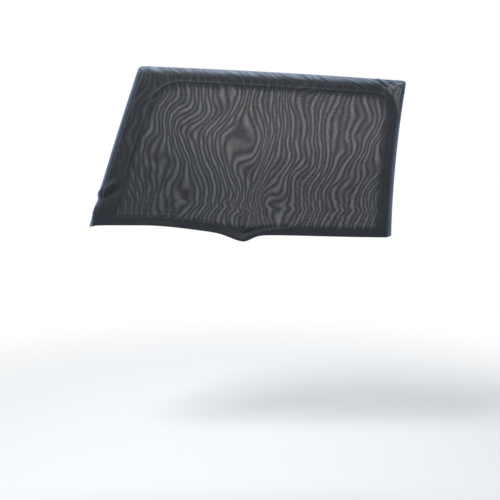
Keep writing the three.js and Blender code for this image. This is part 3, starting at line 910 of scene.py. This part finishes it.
def new_material(name):
    """A material without nodes"""
    material = bpy.data.materials.new(name)
    material.use_nodes = True
    material.node_tree.nodes.clear()
    return material


class NodeBench:
    """Short calls for building one material's nodes"""

    def __init__(self, tree):
        self.tree = tree

    def add(self, kind, **settings):
        node = self.tree.nodes.new(kind)
        for key, value in settings.items():
            setattr(node, key, value)
        return node

    def join(self, start, end):
        self.tree.links.new(start, end)

    def feed(self, socket, value):
        if isinstance(value, bpy.types.NodeSocket):
            self.join(value, socket)
        else:
            socket.default_value = value

    def math(self, operation, first, second=0.0, third=0.0):
        node = self.add("ShaderNodeMath", operation=operation)
        for socket, value in zip(node.inputs, (first, second, third)):
            self.feed(socket, value)
        return node.outputs[0]

    def remap(self, value, low, high, to_low, to_high, smooth_step=False):
        node = self.add("ShaderNodeMapRange", interpolation_type="SMOOTHSTEP" if smooth_step else "LINEAR")
        for socket, entry in zip(node.inputs, (value, low, high, to_low, to_high)):
            self.feed(socket, entry)
        return node.outputs[0]

    def noise(self, vector, scale, detail=2.0):
        node = self.add("ShaderNodeTexNoise")
        self.join(vector, node.inputs["Vector"])
        node.inputs["Scale"].default_value = scale
        node.inputs["Detail"].default_value = detail
        return node

    def blend(self, factor, first, second):
        node = self.add("ShaderNodeMix", data_type="RGBA")
        self.feed(node.inputs["Factor"], factor)
        node.inputs["A"].default_value = (*first, 1)
        node.inputs["B"].default_value = (*second, 1)
        return node.outputs["Result"]

    def seen(self):
        """1 for the rays that see the surroundings as they look: camera, mirror and see-through rays"""
        path = self.add("ShaderNodeLightPath")
        seen = self.math("MAXIMUM", path.outputs["Is Camera Ray"], path.outputs["Is Glossy Ray"])
        return self.math("MAXIMUM", seen, path.outputs["Is Transmission Ray"])

    def surface(self, shader):
        out = self.add("ShaderNodeOutputMaterial")
        self.join(shader.outputs[0], out.inputs["Surface"])


def mesh_material(name, look, spread, drift, seed):
    """Warp-knit mesh: staggered holes in columns, yarn relief, a soft sheen and slightly uneven dye"""
    material = new_material(name)
    bench = NodeBench(material.node_tree)
    cloth = bench.add("ShaderNodeUVMap", uv_map=CLOTH_MAP).outputs[0]
    shifted = bench.add("ShaderNodeVectorMath", operation="ADD")
    bench.join(cloth, shifted.inputs[0])
    shifted.inputs[1].default_value = (seed, seed * HALF, 0)
    strained = cloth
    for scale, share in DRIFTS:
        wander = bench.noise(shifted.outputs[0], scale, 1.0)
        offset = bench.add("ShaderNodeVectorMath", operation="MULTIPLY_ADD")
        bench.join(wander.outputs["Color"], offset.inputs[0])
        offset.inputs[1].default_value = (drift * share, drift * share * DRIFT_ALONG, 0)
        bench.join(strained, offset.inputs[2])
        strained = offset.outputs[0]
    parts = bench.add("ShaderNodeSeparateXYZ")
    bench.join(strained, parts.inputs[0])
    wale_turn = math.pi / (look.wale * spread[0])
    course_turn = 2 * math.pi / (look.course * spread[1])
    wale_phase = bench.math("MULTIPLY", parts.outputs[0], wale_turn)
    wale = bench.math("COSINE", wale_phase)
    column = bench.math("COSINE", bench.math("MULTIPLY", wale_phase, 2.0))
    course = bench.math("COSINE", bench.math("MULTIPLY", parts.outputs[1], course_turn))
    holes = bench.math("MULTIPLY", wale, course)
    knit = bench.math("MULTIPLY_ADD", column, COLUMN_SHARE, bench.math("MULTIPLY", holes, 1 - COLUMN_SHARE))
    stretch = bench.add("ShaderNodeAttribute", attribute_name=STRETCH).outputs["Fac"]
    edge = bench.remap(stretch, 0.0, 1.0, SLACK_LEVEL, TAUT_LEVEL)
    hole = bench.remap(knit, edge, bench.math("ADD", edge, HOLE_SOFTNESS), 0.0, look.openness, True)
    alpha = bench.math("SUBTRACT", 1.0, hole)
    dye = bench.noise(cloth, 16.0, 4.0).outputs["Fac"]
    dark, light = [c * 0.78 for c in look.yarn], [c * 1.25 for c in look.yarn]
    colour = bench.blend(bench.remap(dye, 0.3, 0.7, 0.0, 1.0), dark, light)
    relief = bench.add("ShaderNodeBump")
    relief.inputs["Distance"].default_value = 0.25 * MM
    relief.inputs["Strength"].default_value = 0.4
    bench.join(bench.math("MULTIPLY", knit, -1.0), relief.inputs["Height"])
    shader = bench.add("ShaderNodeBsdfPrincipled")
    bench.join(colour, shader.inputs["Base Color"])
    bench.join(bench.remap(dye, 0.2, 0.8, 0.48, 0.62), shader.inputs["Roughness"])
    bench.join(alpha, shader.inputs["Alpha"])
    bench.join(relief.outputs[0], shader.inputs["Normal"])
    shader.inputs["Specular IOR Level"].default_value = 0.2
    shader.inputs["Sheen Weight"].default_value = 0.6
    shader.inputs["Sheen Roughness"].default_value = 0.48
    shader.inputs["Sheen Tint"].default_value = (*look.sheen, 1)
    bench.surface(shader)
    return material


def plain_material(name, colour, roughness, grain_scale):
    """Thread or webbing: one dark colour with a fine grain"""
    material = new_material(name)
    bench = NodeBench(material.node_tree)
    place = bench.add("ShaderNodeTexCoord").outputs["Object"]
    grain = bench.noise(place, grain_scale, 3.0).outputs["Fac"]
    tone = bench.blend(grain, [c * 0.7 for c in colour], [c * 1.3 for c in colour])
    shader = bench.add("ShaderNodeBsdfPrincipled")
    bench.join(tone, shader.inputs["Base Color"])
    bench.join(bench.remap(grain, 0.0, 1.0, roughness - 0.08, roughness + 0.08), shader.inputs["Roughness"])
    relief = bench.add("ShaderNodeBump")
    relief.inputs["Distance"].default_value = 0.05 * MM
    relief.inputs["Strength"].default_value = 0.5
    bench.join(grain, relief.inputs["Height"])
    bench.join(relief.outputs[0], shader.inputs["Normal"])
    bench.surface(shader)
    return material


def dress(piece, material, replaces=None):
    """Gives a piece its finish and its body, and hides the imported part of the node that it stands for,
    where one is named
    """
    piece.data.materials.clear()
    piece.data.materials.append(material)
    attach(piece, "root")
    if replaces:
        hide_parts(replaces)


class SUNSHADE_OT_cabin_panel(bpy.types.Operator):
    """Makes the mesh panel on the cabin side, with its rolled edges, folds and hem"""

    bl_idname = "sunshade.cabin_panel"
    bl_label = "Cabin mesh panel"

    def execute(self, context):
        look = context.scene.sunshade_cloth
        sheet = cabin_sheet(context.scene.sunshade_sizes)[0]
        piece = sheet.mesh_object("cabin_mesh")
        material = mesh_material("cabin_mesh", look, (1.0, 1.0), 0.007, 1.7)
        dress(piece, material, "cabin_mesh_panel")
        return {"FINISHED"}


class SUNSHADE_OT_outer_panel(bpy.types.Operator):
    """Makes the flatter mesh panel on the outer side, with its hem"""

    bl_idname = "sunshade.outer_panel"
    bl_label = "Outer mesh panel"

    def execute(self, context):
        look = context.scene.sunshade_cloth
        sheet = outer_sheet(context.scene.sunshade_sizes)[0]
        piece = sheet.mesh_object("outer_mesh")
        material = mesh_material("outer_mesh", look, (1.12, 1.02), 0.015, 4.3)
        dress(piece, material, "outer_mesh_panel")
        return {"FINISHED"}


class SUNSHADE_OT_overlock_thread(bpy.types.Operator):
    """Sews the looped overlock thread over the turned-in seam allowances"""

    bl_idname = "sunshade.overlock_thread"
    bl_label = "Overlock thread"

    def execute(self, context):
        sizes, stitches = context.scene.sunshade_sizes, context.scene.sunshade_stitches
        _, _, border, inward = cabin_sheet(sizes)
        piece = overlock_mesh(sizes, stitches, SeamLine(border, inward)).mesh_object("overlock_thread")
        material = plain_material("sewing_thread", THREAD_BLACK, 0.45, 2500.0)
        dress(piece, material, "overlock_seam_thread")
        return {"FINISHED"}


class SUNSHADE_OT_hem(bpy.types.Operator):
    """Threads the elastic through both hems and stitches them"""

    bl_idname = "sunshade.hem"
    bl_label = "Hem elastic and stitches"

    def execute(self, context):
        sizes, stitches = context.scene.sunshade_sizes, context.scene.sunshade_stitches
        cabin_hem, outer_hem = cabin_sheet(sizes)[1], outer_sheet(sizes)[1]
        elastic = elastic_mesh(cabin_hem, outer_hem).mesh_object("elastic_band")
        dress(elastic, plain_material("elastic", ELASTIC_BLACK, 0.6, 900.0), "hem_elastic")
        stitched = hem_stitch_mesh((cabin_hem, outer_hem), stitches).mesh_object("hem_stitches")
        dress(stitched, plain_material("hem_thread", THREAD_BLACK, 0.45, 2500.0))
        return {"FINISHED"}


def pale_floor(grey, fade_from, fade_to):
    """Pale floor paint. Away from the object, the camera sees it fade into the white surroundings."""
    material = new_material("pale_floor")
    bench = NodeBench(material.node_tree)
    paint = bench.add("ShaderNodeBsdfPrincipled")
    paint.inputs["Base Color"].default_value = (grey, grey, grey, 1)
    paint.inputs["Roughness"].default_value = 0.9
    glow = bench.add("ShaderNodeEmission")
    place = bench.add("ShaderNodeTexCoord").outputs["Object"]
    reach = bench.add("ShaderNodeVectorMath", operation="LENGTH")
    bench.join(place, reach.inputs[0])
    fade = bench.remap(reach.outputs["Value"], fade_from, fade_to, 0.0, 1.0, True)
    mixed = bench.add("ShaderNodeMixShader")
    bench.join(bench.math("MULTIPLY", fade, bench.seen()), mixed.inputs[0])
    bench.join(paint.outputs[0], mixed.inputs[1])
    bench.join(glow.outputs[0], mixed.inputs[2])
    bench.surface(mixed)
    return material


def white_world(strength):
    """Soft light all round, seen as plain white"""
    world = bpy.data.worlds.new("white")
    world.use_nodes = True
    world.node_tree.nodes.clear()
    bench = NodeBench(world.node_tree)
    blend = bench.add("ShaderNodeMixShader")
    out = bench.add("ShaderNodeOutputWorld")
    bench.join(bench.seen(), blend.inputs[0])
    for socket, level in ((blend.inputs[1], strength), (blend.inputs[2], 1.0)):
        light = bench.add("ShaderNodeBackground")
        light.inputs["Color"].default_value = (1, 1, 1, 1)
        light.inputs["Strength"].default_value = level
        bench.join(light.outputs[0], socket)
    bench.join(blend.outputs[0], out.inputs["Surface"])
    return world


FLOOR_REACH = 12.0
FLOOR_FADE = (0.9, 2.2)
LAMP_AIM = Vector((0, 0, 0.25))

# Name, place, size, power and colour
LAMPS = (
    ("key", (-1.0, -1.3, 2.1), 0.8, 52, (1.0, 1.0, 1.0)),
    ("fill", (1.2, -2.6, 0.9), 1.8, 7, (1.0, 1.0, 1.0)),
    ("sky", (0.1, 1.7, 2.8), 2.2, 95, (0.88, 0.94, 1.0)),
)


class SUNSHADE_OT_studio(bpy.types.Operator):
    """Sets the camera, lamps, pale floor and white surroundings"""

    bl_idname = "sunshade.studio"
    bl_label = "Studio"

    def execute(self, context):
        scene, studio = context.scene, context.scene.sunshade_studio
        camera_data = bpy.data.cameras.new("camera")
        camera_data.lens = studio.lens
        camera_data.sensor_width = 36.0
        camera = bpy.data.objects.new("camera", camera_data)
        seam_plane = scene.sunshade_sizes.pouch_depth * HALF - 3 * MM
        camera.location = (studio.camera_side, seam_plane - studio.distance, studio.camera_height)
        camera.rotation_euler = (math.pi / 2 - studio.pitch, 0, 0)
        scene.collection.objects.link(camera)
        scene.camera = camera

        floor_mesh = bpy.data.meshes.new("floor")
        corners = [(FLOOR_REACH * x, FLOOR_REACH * y, 0) for x, y in ((-1, -1), (1, -1), (1, 1), (-1, 1))]
        floor_mesh.from_pydata(corners, [], [(0, 1, 2, 3)])
        floor_mesh.materials.append(pale_floor(studio.floor_paint, *FLOOR_FADE))
        floor = bpy.data.objects.new("floor", floor_mesh)
        floor.location = (0, 0, -studio.floor_drop)
        scene.collection.objects.link(floor)

        for name, place, size, power, colour in LAMPS:
            lamp_data = bpy.data.lights.new(name, "AREA")
            lamp_data.size = size
            lamp_data.energy = power
            lamp_data.color = colour
            lamp = bpy.data.objects.new(name, lamp_data)
            lamp.location = place
            aim = LAMP_AIM - Vector(place)
            lamp.rotation_euler = aim.to_track_quat("-Z", "Y").to_euler()
            scene.collection.objects.link(lamp)

        scene.world = white_world(studio.soft_light)
        scene.view_settings.view_transform = "Standard"
        return {"FINISHED"}


class SUNSHADE_PT_sidebar(bpy.types.Panel):
    """Lists the shade's sizes and the steps that build it"""

    bl_label = "Sunshade"
    bl_idname = "SUNSHADE_PT_sidebar"
    bl_space_type = "VIEW_3D"
    bl_region_type = "UI"
    bl_category = "Sunshade"

    def draw(self, context):
        for operator in OPERATORS:
            self.layout.operator(operator.bl_idname)
        for group in GROUPS:
            settings = getattr(context.scene, group)
            box = self.layout.box()
            for entry in settings.bl_rna.properties:
                if entry.identifier not in {"name", "rna_type"}:
                    box.prop(settings, entry.identifier)


OPERATORS = (
    SUNSHADE_OT_studio,
    SUNSHADE_OT_cabin_panel,
    SUNSHADE_OT_outer_panel,
    SUNSHADE_OT_overlock_thread,
    SUNSHADE_OT_hem,
)
GROUPS = {
    "sunshade_sizes": ShadeSizes,
    "sunshade_cloth": ClothLook,
    "sunshade_stitches": StitchSizes,
    "sunshade_studio": StudioLook,
}
CLASSES = (*GROUPS.values(), *OPERATORS, SUNSHADE_PT_sidebar)


def register():
    for entry in CLASSES:
        bpy.utils.register_class(entry)
    for name, group in GROUPS.items():
        setattr(bpy.types.Scene, name, PointerProperty(type=group))


def unregister():
    for name in GROUPS:
        delattr(bpy.types.Scene, name)
    for entry in reversed(CLASSES):
        bpy.utils.unregister_class(entry)


def main():
    register()
    bpy.ops.sunshade.studio()
    bpy.ops.sunshade.cabin_panel()
    bpy.ops.sunshade.outer_panel()
    bpy.ops.sunshade.overlock_thread()
    bpy.ops.sunshade.hem()


if __name__ == "__main__":
    main()
